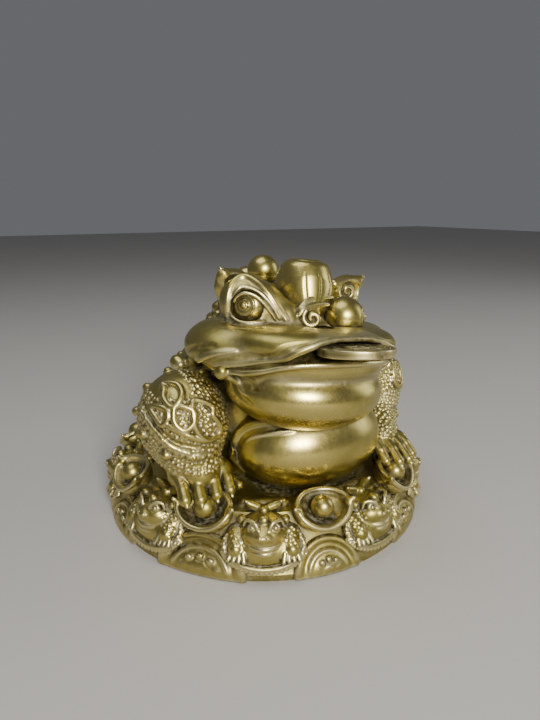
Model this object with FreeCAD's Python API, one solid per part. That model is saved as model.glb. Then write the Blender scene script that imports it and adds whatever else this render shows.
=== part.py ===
"""Cast brass three-legged money toad: a hollow toad in brazed sections, screwed from below to a round
base ringed with small toads, boat ingots and leaning coins, with a loose coin in its mouth.

Millimetres. The origin is the centre of the base's foot ring, +Z is up, the toad faces -Y and its own
right side is -X. Angles round the base run from the front, -Y, towards the toad's left, +X.
Each piece is written to parts/NODE.step.
"""

import FreeCAD
import Part

import math
import os

V = FreeCAD.Vector

# Driving dimensions: the base
BASE_RADIUS = 84.0
BASE_HEIGHT = 26.0
BASE_TOP_RADIUS = 71.0
FOOT_BAND_HEIGHT = 3.0
FOOT_RING_WIDTH = 7.0
WALL = 4.0

# Driving dimensions: the ring of ornaments on the base
PERIOD_COUNT = 9
PERIOD = 360.0 / PERIOD_COUNT
INGOT_START = -8.4
TOADLET_START = INGOT_START + PERIOD / 2
INGOT_RING = 75.5
TOADLET_RING = 73.0
RIM_COIN_RING = 78.5
RIM_COIN_RADIUS = 18.5
RIM_COIN_THICK = 5.0

# Driving dimensions: the toad, as centres and half-sizes of its main masses
TORSO_CENTRE, TORSO_RADII = (0.0, 10.0, 50.0), (50.0, 53.0, 50.0)
HUMP_CENTRE, HUMP_RADII = (0.0, 2.0, 88.0), (25.0, 38.0, 32.0)
TORSO_SEAM = 40.0
BELLY_CENTRE, BELLY_RADII = (4.0, -39.0, 46.5), (39.5, 29.0, 24.5)
THROAT_CENTRE, THROAT_RADII = (-1.5, -42.5, 77.0), (38.5, 35.0, 20.0)
HEAD_CENTRE, HEAD_RADII = (-2.0, -31.0, 94.0), (52.0, 37.0, 15.0)
SNOUT_CENTRE, SNOUT_RADII = (-1.0, -49.5, 98.5), (40.0, 31.0, 10.5)
HEAD_ROLL = 6.0
HEAD_PIVOT = V(0, 0, 85)
MOUTH_HALF_WIDTH = 50.0
MOUTH_CORNER_HEIGHT = 84.0
UPPER_LIP_HEIGHT = 104.5
LOWER_LIP_HEIGHT = 96.5

# Driving dimensions: the knobs down the spine, as depth, height and radius
SPINE_KNOBS = (
    (3.0, 125.0, 8.0),
    (19.0, 119.0, 7.0),
    (33.0, 109.0, 6.5),
    (44.0, 93.5, 6.0),
    (55.0, 80.5, 5.5),
)

# Driving dimensions: the mouth coin
COIN_CENTRE = V(0, -80, 98.5)
COIN_RADIUS = 16.0
COIN_THICK = 3.6
COIN_TILT = 7.5
COIN_ROLL = 4.2
COIN_HOLE = 5.0
COIN_GAP = 0.4

# Driving dimensions: the screws that hold the toad to the base
SCREW_RADIUS = 2.5
SCREW_HOLE_RADIUS = 2.75
TAPPED_RADIUS = 2.55
SCREW_GRIP = 10.0
HEAD_RADIUS, HEAD_THICK = 4.2, 3.0
WASHER_RADIUS, WASHER_THICK = 6.0, 1.0
SCREW_CIRCLE = 37.0
SCREW_ANGLES = (60.0, 180.0, 300.0)
BOSS_OUTSET = 3.0
BOSS_RADIUS, BOSS_HEIGHT = 7.0, 16.0

BIG = 400.0


# ---------------------------------------------------------------- shapes that repeat
def ellipsoid(centre, radii, turn=(0.0, 0.0, 0.0), seam=0.0):
    """An ellipsoid, turned by yaw, pitch and roll in degrees about Z, Y and X.

    Its surface's seam runs from pole to pole at the angle seam from its own X, away from joins.
    """
    ball = Part.makeSphere(1.0)
    ball.rotate(V(0, 0, 0), V(0, 0, 1), seam)
    stretch = FreeCAD.Matrix()
    stretch.scale(*radii)
    body = ball.transformGeometry(stretch)
    body.Placement = FreeCAD.Placement(V(*centre), FreeCAD.Rotation(*turn)).multiply(body.Placement)
    return body


def capsule(start, end, start_radius, end_radius):
    """A ball at each end and the cone tangent to both, as one solid of revolution."""
    axis = end - start
    length = axis.Length
    lean = math.asin((start_radius - end_radius) / length)
    meet = math.pi / 2 + lean

    def on_ball(radius, height, angle):
        return V(radius * math.sin(angle), 0, height - radius * math.cos(angle))

    foot = on_ball(start_radius, 0, 0)
    first = on_ball(start_radius, 0, meet)
    second = on_ball(end_radius, length, meet)
    top = on_ball(end_radius, length, math.pi)
    edges = [
        Part.Arc(foot, on_ball(start_radius, 0, meet / 2), first).toShape(),
        Part.makeLine(first, second),
        Part.Arc(second, on_ball(end_radius, length, (meet + math.pi) / 2), top).toShape(),
        Part.makeLine(top, foot),
    ]
    body = Part.Face(Part.Wire(edges)).revolve(V(0, 0, 0), V(0, 0, 1), 360)
    if body.Volume < 0:
        body.reverse()
    body.Placement = FreeCAD.Placement(start, FreeCAD.Rotation(V(0, 0, 1), axis))
    return body


def turned(points):
    """A solid of revolution about Z from (radius, height) points of a closed outline."""
    corners = [V(r, 0, z) for r, z in points]
    face = Part.Face(Part.makePolygon(corners + corners[:1]))
    return face.revolve(V(0, 0, 0), V(0, 0, 1), 360)


def joined(*shapes):
    return shapes[0].multiFuse(list(shapes[1:])).removeSplitter()


def trimmed(shape, others):
    """The largest solid left once the others that it touches are cut away, one by one."""
    for other in others:
        if other.BoundBox.intersect(shape.BoundBox):
            shape = largest(shape.cut(other))
    return shape


def without(shape, *tools):
    """The shape with the tools cut away, as its solids of any real size."""
    left = shape.cut(list(tools))
    solids = [s for s in left.Solids if s.Volume > 1.0]
    return solids[0] if len(solids) == 1 else Part.makeCompound(solids)


def largest(shape):
    return max(shape.Solids, key=lambda s: s.Volume)


def about_z(shape, degrees):
    """A copy turned about the base's axis."""
    copy = shape.copy()
    copy.rotate(V(0, 0, 0), V(0, 0, 1), degrees)
    return copy


def rolled(shape):
    """A copy in the head's tilt, with the toad's left side lower."""
    copy = shape.copy()
    copy.rotate(HEAD_PIVOT, V(0, 1, 0), HEAD_ROLL)
    return copy


def ring_place(ring, degrees, height):
    """A point on a ring round the base, by its angle from the front."""
    a = math.radians(degrees)
    return V(ring * math.sin(a), -ring * math.cos(a), height)


def screw_place(degrees, height, outset=0.0):
    """A point on the screws' circle, which is centred under the torso."""
    return ring_place(SCREW_CIRCLE + outset, degrees, height) + V(0, TORSO_CENTRE[1], 0)


def above(height):
    return Part.makeBox(BIG, BIG, BIG, V(-BIG / 2, -BIG / 2, height))


# ---------------------------------------------------------------- the base
def base_outer():
    return turned(
        [
            (0, 0),
            (BASE_RADIUS, 0),
            (BASE_RADIUS, FOOT_BAND_HEIGHT),
            (BASE_TOP_RADIUS + 3, BASE_HEIGHT - 4),
            (BASE_TOP_RADIUS, BASE_HEIGHT),
            (0, BASE_HEIGHT),
        ]
    )


def base_casting():
    """A hollow round foot, open below, with the screw holes through its top."""
    inner = turned(
        [
            (0, -1),
            (BASE_RADIUS - FOOT_RING_WIDTH, -1),
            (BASE_RADIUS - FOOT_RING_WIDTH, FOOT_BAND_HEIGHT),
            (BASE_TOP_RADIUS - WALL, BASE_HEIGHT - WALL),
            (0, BASE_HEIGHT - WALL),
        ]
    )
    holes = [
        Part.makeCylinder(SCREW_HOLE_RADIUS, 2 * WALL, screw_place(a, BASE_HEIGHT - 1.5 * WALL))
        for a in SCREW_ANGLES
    ]
    return without(base_outer(), inner, *holes)


def ingot():
    """A boat-shaped ingot with a ball in its middle, at the front of the base."""
    hull = ellipsoid((0, -INGOT_RING, BASE_HEIGHT + 3.5), (13.0, 9.5, 8.5))
    hull = hull.cut(above(BASE_HEIGHT + 4.5))
    hollow = ellipsoid((0, -INGOT_RING, BASE_HEIGHT + 5.5), (11.0, 7.6, 4.5))
    ball = ellipsoid((0, -INGOT_RING + 0.5, BASE_HEIGHT + 4.0), (6.0, 5.6, 5.6))
    tips = [
        capsule(V(10.5 * s, -INGOT_RING, BASE_HEIGHT + 3), V(12.6 * s, -INGOT_RING, BASE_HEIGHT + 7), 2.2, 1.4)
        for s in (-1, 1)
    ]
    return joined(hull.cut(hollow), ball, *tips)


def toadlet():
    """A small crouching toad that looks outwards, at the front of the base."""
    y = -TOADLET_RING
    body = ellipsoid((0, y + 1, 17), (12.5, 11.5, 10.0))
    snout = ellipsoid((0, y - 7, 17.5), (8.5, 6.5, 5.5))
    eyes = [ellipsoid((4.2 * s, y - 5, 24.0), (2.6, 2.6, 2.6)) for s in (-1, 1)]
    nose = ellipsoid((0, y - 8, 24.0), (2.8, 3.2, 3.0))
    feet = [capsule(V(9 * s, y - 4, 12), V(10 * s, y - 10, 7.5), 4.0, 2.6) for s in (-1, 1)]
    return joined(body, snout, nose, *eyes, *feet)


def rim_coin():
    """A big coin leaning on the base's slope, cut level at the foot."""
    slope = math.degrees(math.atan2(BASE_HEIGHT - FOOT_BAND_HEIGHT, BASE_RADIUS - BASE_TOP_RADIUS))
    disc = Part.makeCylinder(RIM_COIN_RADIUS, RIM_COIN_THICK)
    recess = Part.makeCylinder(RIM_COIN_RADIUS - 3.0, 1.0, V(0, 0, RIM_COIN_THICK - 1.0))
    disc = disc.cut(recess)
    disc.rotate(V(0, 0, 0), V(1, 0, 0), slope)
    disc.translate(V(0, -RIM_COIN_RING, 5.0))
    return disc.common(above(0))


# ---------------------------------------------------------------- the toad's main masses
def torso_masses():
    """The broad body and the high hump along its spine, as two solids that overlap."""
    body = ellipsoid(TORSO_CENTRE, TORSO_RADII, seam=TORSO_SEAM)
    hump = ellipsoid(HUMP_CENTRE, HUMP_RADII, seam=TORSO_SEAM)
    return [body.common(above(BASE_HEIGHT)), hump]


def torso_outer():
    body, hump = torso_masses()
    return body.fuse(hump)


def inner_of(centre, radii):
    return ellipsoid(centre, tuple(r - WALL for r in radii), seam=TORSO_SEAM)


def torso():
    """The back and flanks as a shell open below, with three tapped bosses for the screws."""
    shell = torso_outer().cut(inner_of(TORSO_CENTRE, TORSO_RADII)).cut(inner_of(HUMP_CENTRE, HUMP_RADII))
    bosses = [
        Part.makeCylinder(BOSS_RADIUS, BOSS_HEIGHT, screw_place(a, BASE_HEIGHT, BOSS_OUTSET))
        for a in SCREW_ANGLES
    ]
    bosses = [b.common(torso_outer()) for b in bosses]
    tapped = [
        Part.makeCylinder(TAPPED_RADIUS, SCREW_GRIP + 2, screw_place(a, BASE_HEIGHT - 1))
        for a in SCREW_ANGLES
    ]
    return without(joined(shell, *bosses), *tapped)


def belly_outer():
    return ellipsoid(BELLY_CENTRE, BELLY_RADII).common(above(BASE_HEIGHT))


def belly():
    """The round front lobe, a shell whose edge meets the torso."""
    return largest(belly_outer().cut([inner_of(BELLY_CENTRE, BELLY_RADII), torso_outer()]))


def below_lip(top):
    """Everything below a lip's edge, which is an arc from corner to corner of the mouth."""
    rise = top - MOUTH_CORNER_HEIGHT
    radius = (MOUTH_HALF_WIDTH**2 + rise**2) / (2 * rise)
    return Part.makeCylinder(radius, BIG, V(0, BIG / 2, top - radius), V(0, -1, 0))


def in_mouth(shape):
    """Puts a shape made level at the origin into the coin's place, tilted back and rolled with the head."""
    shape.rotate(V(0, 0, 0), V(0, 1, 0), COIN_ROLL)
    shape.rotate(V(0, 0, 0), V(1, 0, 0), -COIN_TILT)
    shape.translate(COIN_CENTRE)
    return shape


def coin_placed(radius, thick, drop, reach=0.0):
    """A disc in the coin's tilted plane, drawn out forwards by reach."""
    disc = Part.makeCylinder(radius, thick, V(0, 0, -drop))
    if reach:
        disc = disc.fuse(Part.makeBox(2 * radius, reach, thick, V(-radius, -reach, -drop)))
    return in_mouth(disc)


def coin_slot():
    return coin_placed(COIN_RADIUS + COIN_GAP, COIN_THICK + 2 * COIN_GAP, COIN_GAP, reach=40.0)


def head_outer():
    return ellipsoid(HEAD_CENTRE, HEAD_RADII, seam=90)


def throat_outer():
    return ellipsoid(THROAT_CENTRE, THROAT_RADII)


def brow(side):
    """The thick ridge that slopes from beside the ear down to the nose."""
    outer, peak, inner = V(38 * side, -28, 115), V(28 * side, -42, 122), V(9 * side, -51, 108)
    return joined(capsule(outer, peak, 4.0, 5.0), capsule(peak, inner, 5.0, 3.0))


def eye_mound(side):
    return ellipsoid((25 * side, -30, 108), (14.5, 14.0, 13.5), seam=90)


def upper_head():
    """The snout and upper lip, brows and eye mounds, down to the upper lip's edge."""
    crown = ellipsoid((0, -22, 105), (34, 30, 14), seam=90)
    snout = ellipsoid(SNOUT_CENTRE, SNOUT_RADII, seam=90)
    mass = joined(head_outer(), crown, snout, eye_mound(-1), eye_mound(1), brow(-1), brow(1))
    return trimmed(rolled(mass.cut(below_lip(UPPER_LIP_HEIGHT))), [*torso_masses(), coin_slot()])


def lower_jaw():
    """The lower lip and throat pouch, from the lower lip's edge down to the belly."""
    lip = ellipsoid((-2, -35, 91), (49, 39, 17))
    mass = rolled(joined(throat_outer(), lip).common(below_lip(LOWER_LIP_HEIGHT)))
    hollow = ellipsoid((0, -38, 76), (34, 27, 13))
    return trimmed(mass, [*torso_masses(), belly_outer(), hollow, coin_slot()])


def mouth_coin():
    """A round coin with a square hole and a raised rim on both faces."""
    coin = Part.makeCylinder(COIN_RADIUS, COIN_THICK)
    for height in (COIN_THICK - 0.5, 0.0):
        field = Part.makeCylinder(COIN_RADIUS - 2.2, 0.5, V(0, 0, height))
        collar = Part.makeBox(COIN_HOLE + 3, COIN_HOLE + 3, 0.5, V(-COIN_HOLE / 2 - 1.5, -COIN_HOLE / 2 - 1.5, height))
        coin = coin.cut(field.cut(collar))
    hole = Part.makeBox(COIN_HOLE, COIN_HOLE, COIN_THICK, V(-COIN_HOLE / 2, -COIN_HOLE / 2, 0))
    return in_mouth(coin.cut(hole))


# ---------------------------------------------------------------- the head's own pieces
def eye(side):
    """A ball set in its mound, looking out and forwards."""
    return rolled(ellipsoid((28 * side, -36, 111.5), (10.5, 10.5, 10.5)))


def ear(side):
    """A pointed leaf-shaped ear, hollow in front."""
    leaf = ellipsoid((33 * side, -20, 120), (8.0, 5.0, 9.0), (0, 25 * side, 0))
    tip = capsule(V(35 * side, -20, 123), V(39.5 * side, -23, 131), 4.0, 1.0)
    hollow = ellipsoid((34 * side, -25.5, 121), (5.0, 3.2, 6.5), (0, 25 * side, 0))
    return rolled(joined(leaf, tip).cut(hollow))


def forehead_boss():
    """The big round knob between the eyes, with a flat disc on top."""
    knob = ellipsoid((0, -31, 121), (12.5, 14.5, 13.5))
    flat = Part.makeCylinder(8.5, 10, V(-1, -28, 131.5))
    disc = Part.makeCylinder(8.0, 2.5, V(-1, -28, 130.5))
    return rolled(joined(knob.cut(flat), disc))


def nose_scroll():
    """A round scroll, at the inner ends of the brows, that faces out to the toad's right."""
    curl = Part.makeCylinder(4.2, 9.0, V(0, -43.5, 108.5), V(-0.45, -0.88, 0.1))
    return rolled(curl)


def spine_boss(y, z, radius):
    """One of the round knobs down the middle of the back."""
    return ellipsoid((0, y, z), (radius, radius, radius))


# ---------------------------------------------------------------- the legs
def hand(wrist, target, spread, finger, claw):
    """A palm and four clawed fingers that reach out and down over what the hand rests on."""
    reach = target - wrist
    flat = V(reach.x, reach.y, 0).normalize()
    across = V(-flat.y, flat.x, 0)
    pieces = [ellipsoid(tuple(wrist), (11.0, 8.0, 7.0), (math.degrees(math.atan2(across.y, across.x)), 0, 0))]
    for step in (-1.5, -0.5, 0.5, 1.5):
        knuckle = wrist + across * (step * spread) + flat * 4 + V(0, 0, 1.5)
        tip = wrist + across * (step * spread * 1.15) + flat * finger + V(0, 0, -claw)
        pieces.append(capsule(knuckle, tip, 3.4, 2.0))
    return pieces


def right_foreleg():
    shoulder = ellipsoid((-55, -22, 61), (18.5, 21.0, 25.0), (0, 20, 18))
    forearm = capsule(V(-56, -34, 48), V(-53.5, -42, 39), 12.0, 8.5)
    return joined(shoulder, forearm, *hand(V(-53, -43, 38), ring_place(INGOT_RING, INGOT_START - PERIOD, 30), 5.6, 14, 8))


def left_foreleg():
    """Narrower than the right one. Built on the right, trimmed by the even torso, and mirrored."""
    shoulder = ellipsoid((-56, -20, 60), (16.0, 20.0, 25.0), (0, 18, 14))
    forearm = capsule(V(-52, -34, 48), V(-43, -52, 41), 10.5, 7.5)
    rest = ring_place(INGOT_RING, -INGOT_START - PERIOD, 30)
    leg = joined(shoulder, forearm, *hand(V(-40.5, -55, 39), rest, 5.2, 13, 7))
    return trimmed(leg, torso_masses()).mirror(V(0, 0, 0), V(1, 0, 0))


def hind_leg():
    """The single hind leg, folded behind, with its foot on the base's rim."""
    thigh = ellipsoid((0, 52, 42), (19, 17, 17))
    shin = capsule(V(0, 62, 38), V(0, 67, 33), 11.0, 8.0)
    return joined(thigh, shin, *hand(V(0, 66, 34), V(0, 80, 30), 6.0, 15, 5))


# ---------------------------------------------------------------- fasteners
def screws():
    """Three round-headed screws, up through the base's top into the torso's bosses."""
    under = BASE_HEIGHT - WALL - WASHER_THICK
    made = []
    for angle in SCREW_ANGLES:
        shank = Part.makeCylinder(SCREW_RADIUS, WASHER_THICK + WALL + SCREW_GRIP, screw_place(angle, under))
        head = Part.makeCylinder(HEAD_RADIUS, HEAD_THICK, screw_place(angle, under - HEAD_THICK))
        slot = Part.makeBox(2.5 * HEAD_RADIUS, 1.0, 1.2, V(-1.25 * HEAD_RADIUS, -0.5, 0))
        slot.translate(screw_place(angle, under - HEAD_THICK))
        made.append(shank.fuse(head).removeSplitter().cut(slot))
    return Part.makeCompound(made)


def washers():
    made = []
    for angle in SCREW_ANGLES:
        place = screw_place(angle, BASE_HEIGHT - WALL - WASHER_THICK)
        disc = Part.makeCylinder(WASHER_RADIUS, WASHER_THICK, place)
        made.append(disc.cut(Part.makeCylinder(SCREW_HOLE_RADIUS, WASHER_THICK, place)))
    return Part.makeCompound(made)


# ---------------------------------------------------------------- putting it together
def main():
    pieces = {}
    foot = base_outer()
    torso_mass, belly_mass = torso_masses(), belly_outer()

    pieces["base_casting"] = base_casting()
    one_toadlet = trimmed(toadlet(), [foot])
    beside = [about_z(one_toadlet, PERIOD / 2), about_z(one_toadlet, -PERIOD / 2)]
    one_ingot = trimmed(ingot(), [foot, *beside])
    one_coin = trimmed(rim_coin(), [foot, one_ingot, *beside])
    for k in range(PERIOD_COUNT):
        pieces[f"base_toad_{k + 1}"] = about_z(one_toadlet, TOADLET_START + k * PERIOD)
        pieces[f"ingot_{k + 1}"] = about_z(one_ingot, INGOT_START + k * PERIOD)
        pieces[f"rim_coin_{k + 1}"] = about_z(one_coin, INGOT_START + k * PERIOD)

    head = upper_head()
    jaw = lower_jaw()
    pieces["torso"] = torso()
    pieces["belly"] = belly()
    pieces["upper_head"] = head
    pieces["lower_jaw"] = jaw
    pieces["right_foreleg"] = trimmed(right_foreleg(), [foot, *torso_mass, belly_mass, head, jaw])
    pieces["left_foreleg"] = trimmed(left_foreleg(), [foot, belly_mass, head, jaw])
    pieces["hind_leg"] = trimmed(hind_leg(), [foot, *torso_mass])

    boss = forehead_boss()
    pieces["forehead_boss"] = trimmed(boss, [head, *torso_mass])
    pieces["nose_scroll"] = trimmed(nose_scroll(), [head, boss])
    for side, word in ((-1, "right"), (1, "left")):
        pieces[f"{word}_eye"] = trimmed(eye(side), [head])
        pieces[f"{word}_ear"] = trimmed(ear(side), [head, *torso_mass])
    for number, knob in enumerate(SPINE_KNOBS):
        pieces[f"spine_boss_{number + 1}"] = trimmed(spine_boss(*knob), [head, *torso_mass, boss])

    pieces["screws"] = screws()
    pieces["washers"] = washers()
    pieces["mouth_coin"] = mouth_coin()

    os.makedirs("parts", exist_ok=True)
    for name, shape in pieces.items():
        bad = not shape.isValid() or min(s.Volume for s in shape.Solids) <= 0
        print(f"{name:16s} solids {len(shape.Solids)} volume {shape.Volume:10.1f}{' BAD' if bad else ''}")
        shape.exportStep(f"parts/{name}.step")


main()
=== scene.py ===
"""The looks of the brass money toad: every casting is modelled as a solid in clay, given its skin, folds,
pebbles and relief, and finished in dusty brass with a painted highlight on its ridges and painted shade in
its hollows. The clay works in millimetres, the meshes in metres."""

import math
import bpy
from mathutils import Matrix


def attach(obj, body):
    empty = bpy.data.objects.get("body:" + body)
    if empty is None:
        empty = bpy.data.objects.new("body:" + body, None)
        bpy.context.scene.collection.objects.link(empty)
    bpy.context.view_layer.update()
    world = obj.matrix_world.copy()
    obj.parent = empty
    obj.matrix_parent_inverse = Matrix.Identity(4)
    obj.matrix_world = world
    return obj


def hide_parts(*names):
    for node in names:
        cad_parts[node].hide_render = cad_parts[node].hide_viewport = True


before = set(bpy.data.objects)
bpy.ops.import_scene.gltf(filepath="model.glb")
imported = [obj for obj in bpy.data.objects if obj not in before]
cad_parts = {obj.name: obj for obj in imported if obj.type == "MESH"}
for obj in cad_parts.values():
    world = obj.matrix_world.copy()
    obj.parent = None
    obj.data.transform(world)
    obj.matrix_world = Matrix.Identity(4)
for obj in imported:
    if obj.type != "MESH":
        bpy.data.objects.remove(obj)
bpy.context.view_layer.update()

from concurrent.futures import ThreadPoolExecutor
from functools import partial

import bpy
import numpy as np
from mathutils import Euler

FAR = 1000.0
COARSE = 1.0
MM = 0.001
UNITS = np.eye(3, dtype=np.float32)
NEIGHBOURS = [(i, j, k) for i in (-1, 0, 1) for j in (-1, 0, 1) for k in (-1, 0, 1)]

# The figure's layout
BASE_TOP = 26.0
SUNK = 0.8
RING_COUNT = 9
PERIOD = 360.0 / RING_COUNT
INGOT_START = -8.4
INGOT_CENTRE = (0, -76, 28)
INGOT_LEAN = math.radians(34)
TOADLET_START = INGOT_START + PERIOD / 2
HEAD_ROLL = math.radians(6.0)
HEAD_PIVOT_Z = 85.0
COIN_TILT = math.radians(7.5)
COIN_ROLL = math.radians(4.2)
COIN_CENTRE = (0.0, -80.0, 98.5)
COIN_RADIUS, COIN_THICK = 16.0, 3.6


# ---- shapes: (measure, low, high)
def arr(p):
    return np.array(p, np.float32)


def turn_matrix(turn):
    """Yaw, pitch and roll in degrees about Z, Y and X."""
    yaw, pitch, roll = (math.radians(t) for t in turn)
    return np.array(Euler((roll, pitch, yaw), "XYZ").to_matrix(), np.float32)


def egg(centre, radii, turn=None):
    c, r = arr(centre), arr(radii)
    m = None if turn is None else turn_matrix(turn)

    def measure(x, y, z):
        x, y, z = x - c[0], y - c[1], z - c[2]
        if m is not None:
            x, y, z = (m[0, i] * x + m[1, i] * y + m[2, i] * z for i in range(3))
        near = np.sqrt((x / r[0]) ** 2 + (y / r[1]) ** 2 + (z / r[2]) ** 2)
        steep = np.sqrt((x / r[0] ** 2) ** 2 + (y / r[1] ** 2) ** 2 + (z / r[2] ** 2) ** 2) + 1e-6
        return near * (near - 1) / steep

    reach = r if m is None else np.full(3, r.max(), np.float32)
    return measure, c - reach, c + reach


def ball(centre, radius):
    return egg(centre, (radius,) * 3)


def rod(start, end, start_radius, end_radius=None):
    a, b = arr(start), arr(end)
    end_radius = start_radius if end_radius is None else end_radius
    axis = b - a
    square = float(axis @ axis) + 1e-9

    def measure(x, y, z):
        x, y, z = x - a[0], y - a[1], z - a[2]
        h = np.clip((x * axis[0] + y * axis[1] + z * axis[2]) / square, 0, 1)
        d = np.sqrt((x - h * axis[0]) ** 2 + (y - h * axis[1]) ** 2 + (z - h * axis[2]) ** 2)
        return d - (start_radius + h * (end_radius - start_radius))

    top = max(start_radius, end_radius)
    return measure, np.minimum(a, b) - top, np.maximum(a, b) + top


def disc(centre, axis, radius, half, edge=0.4):
    """A round-edged disc: half is half its thickness."""
    c, n = arr(centre), arr(axis) / np.linalg.norm(axis)

    def measure(x, y, z):
        x, y, z = x - c[0], y - c[1], z - c[2]
        up = x * n[0] + y * n[1] + z * n[2]
        out = np.sqrt(np.maximum(x * x + y * y + z * z - up * up, 0))
        u, v = out - radius + edge, np.abs(up) - half + edge
        outside = np.sqrt(np.maximum(u, 0) ** 2 + np.maximum(v, 0) ** 2)
        return outside + np.minimum(np.maximum(u, v), 0) - edge

    reach = math.hypot(radius, half)
    return measure, c - reach, c + reach


def hoop(centre, axis, radius, thick):
    """A ring of round section."""
    c, n = arr(centre), arr(axis) / np.linalg.norm(axis)

    def measure(x, y, z):
        x, y, z = x - c[0], y - c[1], z - c[2]
        up = x * n[0] + y * n[1] + z * n[2]
        out = np.sqrt(np.maximum(x * x + y * y + z * z - up * up, 0))
        return np.sqrt((out - radius) ** 2 + up * up) - thick

    return measure, c - radius - thick, c + radius + thick


def block(low, high):
    lo, hi = arr(low), arr(high)

    def measure(x, y, z):
        far = [np.maximum(lo[i] - v, v - hi[i]) for i, v in enumerate((x, y, z))]
        return np.maximum(np.maximum(far[0], far[1]), far[2])

    return measure, lo, hi


def curve(points, count=8, closed=False):
    """A Catmull-Rom curve through points of any width: place, then radius if given."""
    p = np.array(points, float)
    if closed:
        ring = np.vstack([p[-1:], p, p[:2]])
    else:
        ring = np.vstack([2 * p[:1] - p[1:2], p, 2 * p[-1:] - p[-2:-1]])
    out = []
    for i in range(1, len(ring) - 2):
        a, b, c, d = ring[i - 1 : i + 3]
        for t in np.linspace(0, 1, count, endpoint=False):
            bend = 2 * a - 5 * b + 4 * c - d
            out.append(0.5 * (2 * b + (c - a) * t + bend * t**2 + (3 * b - a - 3 * c + d) * t**3))
    if not closed:
        out.append(p[-1])
    return np.array(out)


def rope(points, radius, taper=1.0):
    """Rods along points; both ends shrink to taper times the radius."""
    n = len(points) - 1
    sizes = []
    for i in range(n + 1):
        swell = max(0.0, math.sin(math.pi * i / n)) ** 0.6
        sizes.append(radius * (taper + (1 - taper) * swell))
    return [rod(points[i], points[i + 1], sizes[i], sizes[i + 1]) for i in range(n)]


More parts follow.
